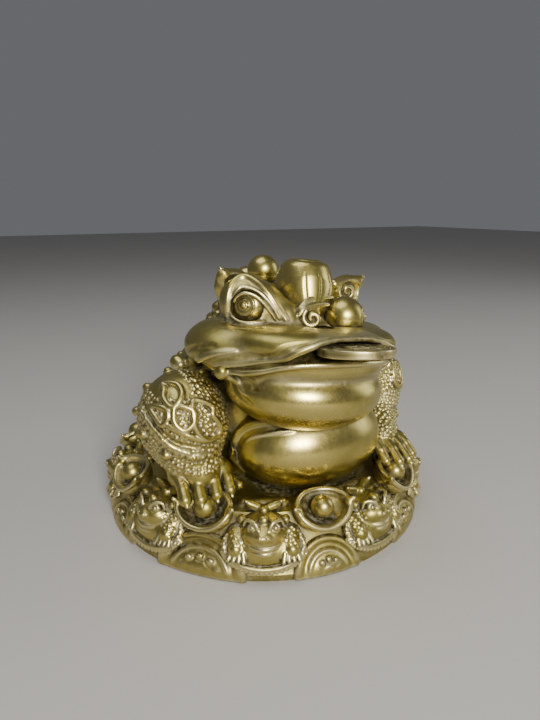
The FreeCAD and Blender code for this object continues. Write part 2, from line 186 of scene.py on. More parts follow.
# ---- the clay
class Clay:
    """A grid of distances to a surface, worked by adding and cutting shapes with soft joins."""

    def __init__(self, low, high, step):
        self.step = step * COARSE
        self.low = arr(low)
        sides = np.ceil((arr(high) - self.low) / self.step).astype(int) + 1
        self.axes = [self.low[i] + self.step * np.arange(sides[i], dtype=np.float32) for i in range(3)]
        self.depth = np.full(sides, FAR, np.float32)

    def window(self, low, high, reach):
        lo = np.floor((arr(low) - reach - self.low) / self.step).astype(int)
        hi = np.ceil((arr(high) + reach - self.low) / self.step).astype(int) + 1
        lo, hi = np.clip(lo, 0, self.depth.shape), np.clip(hi, 0, self.depth.shape)
        return tuple(slice(a, b) for a, b in zip(lo, hi))

    def places(self, spot):
        x, y, z = (axis[s] for axis, s in zip(self.axes, spot))
        return x[:, None, None], y[None, :, None], z[None, None, :]

    def work(self, shapes, blend, reach, cutting):
        low = np.min([s[1] for s in shapes], axis=0)
        high = np.max([s[2] for s in shapes], axis=0)
        whole = self.window(low, high, reach)
        if any(s.stop <= s.start for s in whole):
            return
        tool = np.full([s.stop - s.start for s in whole], FAR, np.float32)
        for measure, lo, hi in shapes:
            spot = self.window(lo, hi, reach)
            if any(s.stop <= s.start for s in spot):
                continue
            part = tuple(slice(s.start - w.start, s.stop - w.start) for s, w in zip(spot, whole))
            tool[part] = np.minimum(tool[part], measure(*self.places(spot)))
        here = self.depth[whole]
        sign = -1 if cutting else 1
        gap = np.maximum(blend - np.abs(sign * here - tool), 0)
        mixed = np.minimum(sign * here, tool) - (gap * gap / (4 * blend) if blend else 0)
        self.depth[whole] = sign * mixed

    def add(self, shapes, blend=0.0, reach=5.0):
        self.work(shapes, blend, blend + reach, False)

    def cut(self, shapes, blend=0.0, reach=5.0):
        self.work(shapes, blend, blend + reach, True)

    def limit(self, field, blend=0.0):
        """Keeps only where field(x, y, z) is negative."""
        x, y, z = self.places(tuple(slice(0, n) for n in self.depth.shape))
        wall = field(x, y, z)
        gap = np.maximum(blend - np.abs(self.depth - wall), 0)
        join = gap * gap / (4 * blend) if blend else 0
        self.depth = (np.maximum(self.depth, wall) + join).astype(np.float32)

    def sample(self, points):
        g = (np.asarray(points, np.float32) - self.low) / self.step
        g = np.clip(g, 0, np.array(self.depth.shape) - 1.001)
        i = g.astype(int)
        f = g - i
        flat = self.depth.ravel()
        _, ny, nz = self.depth.shape
        at = (i[:, 0] * ny + i[:, 1]) * nz + i[:, 2]
        total = np.zeros(len(g), np.float32)
        for a in (0, 1):
            for b in (0, 1):
                for c in (0, 1):
                    weight = np.abs(1 - a - f[:, 0]) * np.abs(1 - b - f[:, 1]) * np.abs(1 - c - f[:, 2])
                    total += weight * flat[at + (a * ny + b) * nz + c]
        return total

    def outward(self, points):
        h = 0.8 * self.step
        grad = np.stack([self.sample(points + h * e) - self.sample(points - h * e) for e in UNITS], 1)
        return grad / (np.linalg.norm(grad, axis=1, keepdims=True) + 1e-9)

    def snap(self, points, lift=0.0):
        """Points moved to the given height above the surface."""
        p = np.array(points, np.float32)[:, :3]
        for _ in range(6):
            p -= np.clip(self.sample(p) - lift, -3, 3)[:, None] * self.outward(p)
        return p

    def ridge(self, points, radius, lift=0.0, blend=1.0, taper=0.5, closed=False, cutting=False):
        """A raised (or cut) cord that follows the surface through the given points."""
        path = self.snap(curve(points, 7, closed), lift)
        path = np.vstack([path, path[:1]]) if closed else path
        self.work(rope(path, radius, 1.0 if closed else taper), blend, blend + 3.0, cutting)
        return path

    def pebbles(self, spacing, radius, sink, keep, seed, blend=0.3):
        """Small round grains over the surface, where keep(points) says."""
        rng = np.random.default_rng(seed)
        near = np.argwhere(np.abs(self.depth) < 0.6 * self.step)
        points = self.low + self.step * near.astype(np.float32)
        points = points[keep(points)]
        rng.shuffle(points)
        taken, chosen = {}, []
        for p in points:
            cell = tuple((p // spacing).astype(int))
            around = [(cell[0] + i, cell[1] + j, cell[2] + k) for i, j, k in NEIGHBOURS]
            if all(c not in taken or np.sum((taken[c] - p) ** 2) > spacing * spacing for c in around):
                taken[cell] = p
                chosen.append(p)
        if not chosen:
            return
        seeds = self.snap(np.array(chosen), -sink)
        sizes = radius * rng.uniform(0.8, 1.15, len(seeds))
        self.work([rod(s, s + 0.01, r) for s, r in zip(seeds, sizes)], blend, blend + 1.5, False)

    def skin(self):
        """Surface nets: one vertex in each cell that the surface crosses, then moved onto it."""
        edge = self.depth.copy()
        for axis in range(3):
            for end in (0, -1):
                where = [slice(None)] * 3
                where[axis] = end
                edge[tuple(where)] = np.maximum(edge[tuple(where)], 0.01)
        inside = edge < 0
        corners = [(a, b, c) for a in (0, 1) for b in (0, 1) for c in (0, 1)]
        nx, ny, nz = edge.shape
        count = np.zeros((nx - 1, ny - 1, nz - 1), np.int8)
        for a, b, c in corners:
            count += inside[a : nx - 1 + a, b : ny - 1 + b, c : nz - 1 + c]
        cells = np.argwhere((count > 0) & (count < 8))
        number = np.full((nx - 1, ny - 1, nz - 1), -1, np.int32)
        number[tuple(cells.T)] = np.arange(len(cells))
        values = {c: edge[cells[:, 0] + c[0], cells[:, 1] + c[1], cells[:, 2] + c[2]] for c in corners}
        total, hits = np.zeros((len(cells), 3)), np.zeros(len(cells))
        for a in corners:
            for axis in range(3):
                if a[axis] == 0:
                    b = tuple(1 if i == axis else a[i] for i in range(3))
                    da, db = values[a], values[b]
                    cross = (da < 0) != (db < 0)
                    t = np.where(cross, da / np.where(cross, da - db, 1), 0)
                    spot = np.tile(np.array(a, float), (len(cells), 1))
                    spot[:, axis] = t
                    total += spot * cross[:, None]
                    hits += cross
        points = (self.low + self.step * (cells + total / hits[:, None])).astype(np.float32)
        for _ in range(2):
            shift = np.clip(0.8 * self.sample(points), -0.35 * self.step, 0.35 * self.step)
            points -= shift[:, None] * self.outward(points)
        faces = []
        for axis in range(3):
            u, v = (axis + 1) % 3, (axis + 2) % 3
            first = [slice(None)] * 3
            second = [slice(None)] * 3
            first[axis], second[axis] = slice(0, -1), slice(1, None)
            a, b = inside[tuple(first)], inside[tuple(second)]
            for flip, change in ((False, a & ~b), (True, ~a & b)):
                spots = np.argwhere(change)
                good = (spots[:, u] > 0) & (spots[:, u] < edge.shape[u] - 1)
                good &= (spots[:, v] > 0) & (spots[:, v] < edge.shape[v] - 1)
                spots = spots[good]
                quad = []
                for du, dv in ((1, 1), (0, 1), (0, 0), (1, 0)):
                    cell = spots.copy()
                    cell[:, u] -= du
                    cell[:, v] -= dv
                    quad.append(number[tuple(cell.T)])
                quad = np.stack(quad, 1)
                faces.append(quad[:, ::-1] if flip else quad)
        faces = np.vstack(faces)
        normal = self.outward(points)
        cavity = sum(1 - self.sample(points + s * normal) / s for s in (0.9, 2.2)) / 2
        # A mask of ridges and thin edges, which the brass finish lifts to a pale cream as a painted
        # highlight.
        ridge_highlight = sum(1 + self.sample(points - s * normal) / s for s in (0.7, 1.6)) / 2
        return points, faces, np.clip(cavity, 0, 1), np.clip(ridge_highlight, 0, 1)


def rolled(points):
    """The head's tilt, about an axis along Y."""
    c, s = math.cos(HEAD_ROLL), math.sin(HEAD_ROLL)
    x, z = points[:, 0], points[:, 2] - HEAD_PIVOT_Z
    return np.stack([c * x + s * z, points[:, 1], c * z - s * x + HEAD_PIVOT_Z], 1)


def unrolled(points):
    c, s = math.cos(HEAD_ROLL), math.sin(HEAD_ROLL)
    x, z = points[:, 0], points[:, 2] - HEAD_PIVOT_Z
    return np.stack([c * x - s * z, points[:, 1], c * z + s * x + HEAD_PIVOT_Z], 1)


def about_z(points, degrees):
    a = math.radians(degrees)
    c, s = math.cos(a), math.sin(a)
    x, y = points[:, 0], points[:, 1]
    return np.stack([c * x - s * y, s * x + c * y, points[:, 2]], 1)


# ---- the toad's castings
UPPER_LIP = (105.0, 85.0, 28.6, 3.5)
LOWER_LIP = (96.5, 82.5, 34.0, 4.0)
TORSO = ((0, 10, 50), (50, 53, 50))
HUMP = ((0, 2, 88), (25, 38, 32))
BELLY = ((4, -39, 46.5), (39.5, 29, 24.5))
LIP_LINE = [(-49.2, -44.1, 85.7), (-46.7, -48.7, 87.0), (-44.4, -51.6, 88.2), (-39.7, -56, 89.8),
            (-35.1, -60.5, 91.8), (-29.9, -67.5, 94.6), (-26.2, -73.0, 97.6), (-20.7, -76, 100.6),
            (-15.4, -76.6, 103.0), (-7, -77, 104.8), (0, -77.2, 105.3)]


def lip_height(x, lip):
    """The height of a lip's edge across the mouth: level in the middle, falling away to the corners."""
    top, corner, half, power = lip
    return corner + (top - corner) / (1 + np.abs(x / half) ** power)


def smooth_step(t):
    t = np.clip(t, 0, 1)
    return t * t * (3 - 2 * t)


def coin_slot():
    """Room for the coin in its place and on its way out."""
    half, clearance = COIN_THICK / 2, 0.5
    rows = unrolled(coin_place(arr([(0, 0, half), (0, -8, half), (0, -16, half), (0, 0, 5.0)])))
    return [disc(p, rows[3] - rows[0], COIN_RADIUS + clearance, half + clearance) for p in rows[:3]]


def cut_torso(clay, shrink=0.8):
    for centre, radii in (TORSO, HUMP):
        clay.cut([egg(centre, [r - shrink for r in radii])], 0, 20)


def stand(clay):
    """Cuts the clay off level, a little below the base's top."""
    clay.limit(lambda x, y, z: BASE_TOP - SUNK - z)


def mirrored(points):
    return [(-p[0], *p[1:]) for p in points]


def upper_head():
    """The snout down to the upper lip, with the cheeks, the brow, the eyelids and both eyes' sockets."""
    clay = Clay((-60, -86, 74), (60, 14, 134), 0.55)
    clay.add([egg((-2, -31, 92.5), (52, 37, 13.5))], reach=60)
    clay.add([egg((-1, -49.5, 99), (40, 31, 12))], 6, 20)
    clay.add([egg((s * 36, -31, 91), (17, 20, 14)) for s in (-1, 1)], 8, 20)
    clay.limit(lambda x, y, z: z - 105.2 + 0.03 * (45 + y), 3)
    clay.add([egg((0, -20, 103), (32, 26, 13))], 6, 20)
    clay.add([egg((-26, -33, 110.5), (14, 13, 13)), egg((22, -31, 104), (14, 12, 9.5))], 4, 10)
    clay.add([rod((-31, -31, 114.5), (-14, -42, 108), 9.5, 7.0)], 5, 10)
    clay.limit(lambda x, y, z: lip_height(x, UPPER_LIP) - 0.5 - z, 2.0)
    # The right eye: its socket, then one heavy lid, two finer ones inside it and a thin lower lid
    clay.cut([ball((-32.4, -39.8, 111.8), 7.4)], 1.0)
    heavy = [(-39.6, -35.5, 107), (-40.6, -36.2, 112), (-39.8, -35.4, 117.9), (-37.2, -34.3, 121.8),
             (-33.9, -33.9, 123.8), (-31.1, -35.4, 124), (-28.9, -38.9, 122.8), (-26.5, -42.4, 120.4),
             (-23.2, -45.9, 115.8), (-19.9, -47.6, 111.1), (-17.4, -49, 107.6)]
    clay.ridge(heavy, 1.75, 0.15, 0.9, 0.55)
    middle = [(-38.6, -38.2, 116.4), (-37.6, -38.8, 118.8), (-35.2, -39.6, 120.4), (-30.9, -42.2, 119.6),
              (-27.1, -44.9, 116.9), (-22.8, -47.0, 112.0), (-20.2, -48, 107.8)]
    clay.add(rope(curve(middle, 7), 1.1, 0.5), 0.4, 3)
    inner = [(-39.2, -39.4, 113.6), (-38.0, -40.6, 116.4), (-35.4, -42.6, 118.2), (-31.4, -44.6, 117.2),
             (-28.0, -46.2, 114.4), (-24.4, -47.3, 110.6), (-22.0, -47.8, 107.2)]
    clay.add(rope(curve(inner, 7), 0.8, 0.5), 0.4, 3)
    lower = [(-39.6, -39.0, 107.6), (-37.8, -41.6, 105.8), (-35.0, -44.6, 105.3), (-31.4, -46.2, 105.8),
             (-27, -47, 106.6)]
    clay.add(rope(curve(lower, 7), 0.95, 0.5), 0.7, 3)
    clay.ridge([(x, y - 1.8, z - 1.6) for x, y, z in lower], 0.55, 0.2, 0.8, 0.4, cutting=True)
    # The left eye stands out bare, with a fold behind it
    clay.cut([ball((16.2, -46.0, 109.0), 10.1)], 0.6)
    clay.ridge([(34, -36, 106), (35.5, -32, 111), (33, -28, 117)], 1.5, 0.3, 1.0, 0.5)
    # Strands of the brow that curl down over the nose
    for strand in ([(-11, -49.0, 109.5), (-8.6, -48.6, 112.4), (-4, -47.4, 113.8), (1, -46.6, 114.4),
                    (6.5, -46.4, 114.4)],
                   [(-10.2, -47.4, 112.6), (-6.4, -46.4, 115.6), (-1, -45, 117.2), (5, -44.4, 117.8),
                    (10, -44.4, 117.4)]):
        clay.add(rope(curve(strand, 7), 1.35, 0.5), 0.5, 3)
    clay.add([rod((-5, -44, 110), (4, -41, 113), 4.2, 4.2)], 3.0)
    # Creases that spread from the eye and over the snout
    for k in range(4):
        clay.ridge([(-46 + 4 * k, -40 - 4.5 * k, 103), (-34 + 3 * k, -53 - 3 * k, 104.6),
                    (-19 + k, -58 - 2.5 * k, 105)], 0.4,
                   0.28, 0.6, 0.3, cutting=True)
    # The upper lip's rolled edge and the folds at the corners of the mouth
    line = LIP_LINE + mirrored(LIP_LINE[-2::-1])
    clay.ridge(np.array(line) + (0, 0.2, 0.9), 1.5, 0.15, 1.0, 0.5)
    clay.ridge(np.array(line) + (0, 0.8, 4.0), 0.8, 0.25, 1.6, 0.3, cutting=True)
    for s in (-1, 1):
        clay.ridge([(s * 45, -55, 95.4), (s * 49.4, -49.6, 93.2), (s * 52.4, -42.5, 90.0),
                    (s * 52.8, -35, 85.4)], 1.3, -0.1, 1.6, 0.3)
        clay.ridge([(s * 45, -55.4, 93.8), (s * 49.2, -50, 91.8), (s * 51.8, -43.4, 88.6),
                    (s * 52.2, -36, 84.4)], 0.6, 0.1, 0.9, 0.3,
                   cutting=True)
        clay.ridge([(s * 51.5, -47, 97), (s * 54, -38, 94), (s * 53, -28, 90)], 0.9, 0.3, 1.4, cutting=True)
    cut_torso(clay)
    clay.cut(coin_slot(), 0.3)
    return clay


def lower_jaw():
    """The lower lip and the throat's pouch, with a shelf inside the lip that climbs to the upper one."""
    clay = Clay((-54, -84, 54), (54, 6, 110), 0.55)
    clay.add([egg((-1.5, -44.5, 76), (38, 34.5, 19.5))], reach=60)
    clay.add([egg((-2, -33.5, 90), (50, 37.5, 15))], 5, 20)
    clay.add([egg((-1, -48, 91), (37, 30, 8.5))], 4, 20)

    def roof(x, y, z):
        inward = 1 - np.sqrt(((x + 2) / 49) ** 2 + ((y + 31) / 47.5) ** 2)
        lift = 11.0 * smooth_step((inward - 0.015) / 0.14)
        low = lip_height(x, LOWER_LIP)
        return 0.85 * (z - np.minimum(low + lift, lip_height(x, UPPER_LIP) + 1.5) + 1.0)

    clay.limit(roof, 2.0)
    line = [(-46.5, -47, 84.6), (-43.6, -52.4, 84.4), (-40, -58.5, 85.4), (-34, -66, 89.4),
            (-27, -72, 92.6), (-17, -76.6, 95.0), (0, -78.5, 95.8)]
    line = line + mirrored(line[-2::-1])
    clay.ridge(line, 1.9, 0.0, 1.2, 0.5)
    clay.ridge(np.array(line) + (0, 0.5, -5.0), 1.2, 0.5, 3.0, 0.2, cutting=True)
    for s in (-1, 1):
        parting = curve([(s * 42, -53.4, 88.0), (s * 37, -60, 89.8), (s * 32, -67, 92.2)], 6)
        clay.cut(rope(parting, 1.0, 0.4), 1.0, 3)
        clay.add([ball((s * 46.4, -48.4, 85.2), 2.8)], 0.9)
        clay.ridge([(s * 50, -36, 84), (s * 50.4, -40, 80), (s * 46, -48, 76), (s * 38, -58, 72.5)], 1.5,
                   0.3, 2.2, 0.2, cutting=True)
        clay.ridge([(s * 49.4, -40, 82), (s * 46.5, -47, 79), (s * 41, -54.5, 76)], 1.5, -0.3, 1.2, 0.4)
        clay.ridge([(s * 44, -52, 82.2), (s * 40, -58, 81.0), (s * 35, -63, 81)], 0.9, 0.35, 1.6, 0.2,
                   cutting=True)
    cut_torso(clay)
    clay.cut(coin_slot(), 0.3)
    return clay


def belly():
    """The smooth lobe between the forelegs, with a rolled edge at its right."""
    clay = Clay((-39, -70, 24.5), (45, -5, 73), 0.56)
    clay.add([egg(*BELLY)], reach=60)
    edge = [(-38.6, -38, 30), (-39.6, -36, 36), (-38.6, -36, 43), (-36.6, -36.5, 50), (-33.9, -38.5, 57),
            (-30.0, -43, 61.5), (-25.5, -48.5, 64), (-17, -56, 65.5), (-7, -61, 66.2)]
    clay.ridge(edge, 2.0, 0.5, 1.2, 0.5)
    clay.ridge([(-34.5, -44, 54), (-31.5, -48.5, 58), (-26, -54.5, 60.8), (-17, -60.5, 62)], 1.1, 0.1, 1.0,
               0.3)
    clay.ridge([(-36.8, -40.5, 51), (-32.6, -45.8, 57), (-26, -52, 61.5), (-17, -58.6, 63)], 0.9, 0.3, 0.9,
               0.3, cutting=True)
    stand(clay)
    cut_torso(clay)
    return clay


def ear(side):
    """A leaf-shaped ear, blunt above, hollow in front with a curl in it. The right one leans in closer."""
    lean = 2.5 if side < 0 else 0.0

    def at(x, y, z):
        return (side * (x - lean), y, z)

    clay = Clay((side * 32 - 16, -34, 106), (side * 32 + 16, -12, 131.5), 0.38)
    clay.add([egg(at(34, -21.5, 118.5), (9.2, 4.0, 8.4))], reach=20)
    clay.add([rod(at(36, -22, 121), at(42.0, -24.5, 126.4), 4.2, 1.1)], 3.0)
    clay.add([rod(at(26, -22, 121.5), at(39.5, -22.8, 123.2), 2.8, 3.0)], 2.0)
    clay.add([rod(at(35, -23, 110), at(34, -22, 117), 5.2, 6.6)], 2.5)
    clay.cut([egg(at(34.0, -27.0, 119.2), (6.4, 4.0, 5.6))], 0.8)
    turns = np.linspace(-1.8, 4.4, 14)
    curl = [at(33.6 + 3.2 * math.cos(t) * (1 - t / 8), -24.3, 118.6 + 3.2 * math.sin(t) * (1 - t / 8))
            for t in turns]
    clay.add(rope(curve(curl, 3), 0.95, 0.5), 0.7, 3)
    return clay


def eye(centre, radius, gaze):
    """A ball with two raised rings and a knob for the pupil, where it looks."""
    c, g = arr(centre), arr(gaze) / np.linalg.norm(gaze)
    clay = Clay(c - radius - 1.5, c + radius + 1.5, 0.33)
    clay.add([ball(c, radius)], reach=20)
    for size in (0.52, 0.3):
        rise = math.sqrt(1 - size**2)
        clay.add([hoop(c + g * radius * rise, g, radius * size, 0.32)], 0.35, 2)
        clay.cut([hoop(c + g * radius * (rise - 0.01), g, radius * size * 1.16, 0.3)], 0.4, 2)
    clay.add([ball(c + g * (radius - 0.3), 1.4)], 0.6, 2)
    return clay


def forehead_boss():
    """A stout dome with a flat cap, narrowing below to a keel over the nose."""
    clay = Clay((-17, -55, 100), (19, -13, 136), 0.42)
    dome = egg((1.8, -30.5, 118.5), (14.2, 14.4, 20.0))
    clay.add([dome, rod((1.6, -30.5, 117), (-1.6, -31.5, 104), 14.2, 10.5)], reach=30)
    clay.add([rod((0.5, -36, 116), (-2.0, -44.5, 110), 10.0, 4.6)], 6, 10)
    clay.limit(lambda x, y, z: z - 134.0 + 0.03 * (y + 30), 3.6)
    clay.cut([hoop((1.6, -30, 134.0), (0, -0.03, 1), 9.0, 0.8)], 0.8)
    for x in (-6.5, 0.5, 7.5):
        clay.ridge([(x * 0.9 + 1, -41, 128), (x * 1.1 + 1, -45, 121), (x * 0.8 - 0.5, -47, 114)], 0.45,
                   0.28, 0.8, 0.3, cutting=True)
    return clay


def nose_scroll():
    """A stub with a spiral cord on its face, looking out to the toad's right."""
    facing = arr((-0.45, -0.88, 0.12))
    facing /= np.linalg.norm(facing)
    side = np.cross(facing, (0, 0, 1))
    side /= np.linalg.norm(side)
    up = np.cross(side, facing)
    middle = arr((-3.0, -47.0, 108.2))
    clay = Clay(middle - 8.5, middle + 8.5, 0.3)
    clay.add([rod(middle - 3 * facing, middle + 1.2 * facing, 4.3, 3.9)], reach=12)
    turns = np.linspace(0, 2.5 * math.pi, 34)
    spiral = []
    for t in turns:
        size = 0.7 + 3.7 * (1 - t / turns[-1])
        spiral.append(middle + facing * 4.6 + size * (math.cos(t + 2.4) * -side + math.sin(t + 2.4) * up))

    def front(x, y, z):
        x, y, z = x - middle[0], y - middle[1], z - middle[2]
        return x * facing[0] + y * facing[1] + z * facing[2] - 4.3

    clay.limit(front, 0.8)
    clay.add(rope(np.array(spiral), 1.3, 0.75), 0.3, 3)
    return clay


def torso():
    """The back: two fused masses with folds, haunches, bosses behind the cheeks and warts."""
    clay = Clay((-60, -46, 24.5), (60, 67, 122), 0.8)
    clay.add([egg(*TORSO)], reach=60)
    clay.add([egg(*HUMP)], 9, 40)
    rng = np.random.default_rng(5)
    # Heavy folds beside the spine, the haunches, and a row of bosses behind each cheek
    for s in (-1, 1):
        clay.ridge([(s * 11, -8, 115), (s * 15, 10, 112), (s * 16, 28, 102), (s * 15, 46, 86),
                    (s * 9, 58, 66)], 2.4, -0.5, 3, 0.5)
        haunch = curve([(s * 36, 42, 48), (s * 43, 30, 42), (s * 44, 18, 34)], 3)
        clay.add([egg(p, (10, 13, 11)) for p in haunch[::3]], 8, 10)
        clay.ridge([(s * 50, 6, 62), (s * 47, 26, 64), (s * 36, 44, 62), (s * 24, 55, 48)], 1.5, 0.4, 3,
                   0.3, cutting=True)
        clay.ridge([(s * 30, -20, 96), (s * 38, -4, 88), (s * 44, 12, 76), (s * 47, 20, 64)], 2.2, -0.1, 2,
                   0.4)
        for at, size in (((s * 40, -22, 84), 4.6), ((s * 44, -12, 78), 5.0), ((s * 47, -1, 72), 4.6),
                         ((s * 36, -12, 90), 4.2), ((s * 41, -2, 84), 4.4), ((s * 45, 9, 78), 3.8)):
            base = clay.snap([at], 0.6)[0]
            clay.add([ball(base, size)], 1.0)
            clay.cut([hoop(base, clay.outward(base[None])[0], size * 0.62, 0.35)], 0.4, 2)
    spots = []
    while len(spots) < 44:
        a, h = rng.uniform(-math.pi, math.pi), rng.uniform(0.0, 0.98)
        flat = math.sqrt(1 - h * h)
        p = clay.snap([(54 * math.sin(a) * flat, 10 + 56 * math.cos(a) * flat, 52 + 62 * h)], 0)[0]
        size = rng.uniform(2.4, 4.2)
        if p[1] < 4 or abs(p[0]) < 10 or p[2] < 32:
            continue
        if all(np.linalg.norm(p - q) > 1.3 * (size + r) for q, r in spots):
            spots.append((p, size))
    for base, size in spots:
        normal = clay.outward(base[None])[0]
        clay.add([ball(base - 0.25 * size * normal, size)], 1.2, 3)
        clay.cut([hoop(base, normal, size * 1.3, 0.45)], 0.9, 2)
    stand(clay)
    return clay


def away_from(paths, gap):
    """A test that keeps points further than gap from every path."""
    line = np.vstack(paths)[::2]

    def keep(points):
        near = np.full(len(points), FAR)
        for q in line:
            near = np.minimum(near, np.sum((points - q) ** 2, 1))
        return near > gap * gap

    return keep


def fingers(clay, pairs, thick, claw):
    """Fingers with a knuckle, a slender middle and a bright rounded nail."""
    for knuckle, tip in pairs:
        k, t = arr(knuckle), arr(tip)
        middle = (k + t) / 2 + (0, 0, 1.1)
        end = t + (t - k) / np.linalg.norm(t - k) * claw
        clay.add([rod(k, middle, thick * 1.18, thick)], 0.8, 3)
        clay.add([rod(middle, t, thick * 0.92, thick * 1.06)], 0.6, 3)
        clay.add([rod(t, end, thick * 0.86, thick * 0.3)], 0.5, 3)
        clay.cut([hoop(t, t - k, thick * 1.12, 0.28)], 0.3, 2)


RIGHT_LOOPS = {
    "upper": [(-64.9, -27, 80.3), (-65.2, -30.2, 78.6), (-66.2, -32.7, 75.7), (-64.7, -36.7, 72.8),
              (-62.2, -37.4, 74.3), (-59.9, -36.1, 77.3), (-60.4, -31.9, 80.6)],
    "middle": [(-62.8, -37.6, 73.3), (-64.4, -38.6, 69.5), (-64.0, -39.9, 66.5), (-61.4, -41.6, 64.3),
               (-58.1, -42.1, 66.7), (-57.4, -40.8, 71.1)],
    "inner": [(-56.3, -38.9, 74.8), (-57.8, -41.4, 69.2), (-56.9, -42.8, 63.3), (-53.1, -42.8, 58.8),
              (-47.9, -41.4, 59.7), (-47.3, -41.1, 63.5), (-49.8, -41.2, 68.1), (-49.7, -39.8, 71.6)],
    "outer": [(-70.5, -29.3, 71.9), (-69.8, -33.3, 68.7), (-68.2, -36.4, 66.1), (-66.2, -37.4, 68.9),
              (-66.6, -35.6, 72.1)],
    "link": [(-66.6, -38.0, 66.3), (-62.4, -41.2, 63.6), (-58.6, -42.6, 61.3), (-54.5, -43, 59)],
}


def right_foreleg():
    """A round shoulder with flame-shaped loops over fine pebbles, and a four-fingered hand."""
    clay = Clay((-80, -60, 24.5), (-26, 5, 88), 0.45)
    clay.add([egg((-55.5, -23, 61), (20.5, 22.5, 23.5))], reach=60)
    clay.add([rod((-56, -34, 47), (-54.5, -39, 41), 12.5, 9.5)], 6, 10)
    cut_torso(clay)
    paths = [clay.snap(curve(p, 6, name != "link"), 0.55) for name, p in RIGHT_LOOPS.items()]
    band = [(-73.5, -22, 73), (-71.7, -27.1, 70), (-70.1, -33.8, 65.6), (-66.1, -39.0, 60.5),
            (-59.7, -42.1, 56.8), (-54, -42.5, 55.5)]
    clear = away_from(paths + [curve(band, 5)], 1.9)

    def pebbled(p):
        smooth_top = (p[:, 2] > 77) & (p[:, 0] < -56)
        return clear(p) & (p[:, 2] > 44) & (p[:, 1] < -4) & ~smooth_top & (p[:, 0] < -34)

    clay.pebbles(1.8, 1.0, 0.2, pebbled, 7, 0.2)
    for path in paths:
        clay.add(rope(path, 1.45, 0.9), 0.3, 3)
    clay.ridge(band, 1.3, 0.4, 0.7, 0.4, cutting=True)
    clay.ridge(np.array(band) + (-0.8, -1.0, -3.0), 1.35, 0.2, 0.8, 0.4)
    low = curve(np.array(band) + (-1.4, -1.0, -4.6), 9)
    clay.add([ball(p, 1.5) for p in clay.snap(low[::3], -0.1)], 0.4, 3)
    for tip in ((-58.9, -14.9, 83), (-68.7, -13.2, 76), (-75, -14.3, 66), (-74, -18, 56), (-73, -27, 60),
                (-66, -36, 53)):
        clay.add([ball(clay.snap([tip], 0.2)[0], 2.3)], 1.2, 3)
    fingers(clay, [((-64.0, -38, 40.0), (-65.2, -48.6, 34.2)), ((-57, -40, 40.4), (-59.0, -51.2, 34.0)),
                   ((-49.8, -42.0, 40.4), (-51.4, -50.8, 34.2)),
                   ((-43.4, -42.2, 39.4), (-44.2, -49.8, 34.2))], 2.9, 3.6)
    clay.add([rod((-63, -36, 40), (-44, -38.5, 40), 5.6, 5.0)], 3.0)
    clay.add([ball((-37.6, -45.5, 32.5), 2.3)], 0.8)
    clay.add([rod((-43, -38, 37), (-38, -44, 33), 3.0, 1.8)], 1.5)
    stand(clay)
    return clay


def left_foreleg():
    """The other foreleg, more upright, gripping its own ingot."""
    clay = Clay((22, -70, 24.5), (78, 5, 88), 0.45)
    clay.add([egg((56, -20, 60), (17.5, 20, 25))], reach=60)
    clay.add([rod((53, -34, 48), (44, -49, 41.5), 10.5, 6.8)], 6, 10)
    cut_torso(clay)
    loops = [[(62, -37, 76), (59, -39.5, 70), (60.5, -39.5, 64), (65, -37, 63), (67.5, -34, 68),
              (66, -33, 74)],
             [(70, -28, 72), (69, -32, 64), (71, -29, 57), (73, -22, 60), (73, -20, 68)]]
    band = [(73, -14, 52), (68.5, -28, 50), (62, -36.5, 50), (55, -41, 52)]
    paths = [clay.snap(curve(p, 6, True), 0.55) for p in loops]
    clear = away_from(paths + [curve(band, 5)], 1.9)
    clay.pebbles(1.8, 1.0, 0.2, lambda p: clear(p) & (p[:, 2] > 44) & (p[:, 1] < -2), 8, 0.2)
    for path in paths:
        clay.add(rope(path, 1.45, 0.9), 0.3, 3)
    clay.ridge(band, 1.2, 0.4, 0.7, 0.4, cutting=True)
    low = curve(np.array(band) + (0.6, -0.8, -3.6), 9)
    clay.add([ball(p, 1.5) for p in clay.snap(low[::3], -0.1)], 0.4, 3)
    fingers(clay, [((36.5, -53.0, 40.2), (36.7, -61.5, 34.0)), ((42.2, -53.6, 40.4), (42.2, -65.0, 34.0)),
                   ((47.8, -53.6, 40.2), (48.2, -65.0, 34.0)), ((53.2, -51.6, 39.8), (54.2, -61.0, 34.0))],
            2.7, 3.2)
    clay.add([rod((37, -51, 38.5), (52, -50, 38.5), 4.4, 4.4)], 2.5)
    stand(clay)
    return clay


def hind_leg():
    """The single leg at the back."""
    clay = Clay((-26, 33, 24.5), (26, 88, 62), 0.5)
    clay.add([egg((0, 52, 42), (19, 18, 17))], reach=60)
    clay.add([rod((0, 62, 38), (0, 68, 34), 11.5, 8.5)], 5, 10)
    cut_torso(clay)
    for s in (-1, 1):
        clay.ridge([(s * 16, 58, 50), (s * 19, 62, 42), (s * 15, 68, 33)], 1.3, 0.2, 0.8, 0.4)
        clay.ridge([(s * 5, 66, 54), (s * 9, 70, 47), (s * 5, 72, 42), (s * 2, 72, 47)], 1.3, 0.2, 0.5, 0.6)
    clay.pebbles(1.9, 1.05, 0.35, lambda p: (p[:, 2] > 40) & (np.abs(p[:, 0]) < 14), 9, 0.25)
    fingers(clay, [((x, 71, 36), (x * 1.25, 81.0 - 0.05 * x * x, 33)) for x in (-9.6, -3.4, 3.4, 9.6)],
            2.5, 2.6)
    stand(clay)
    return clay


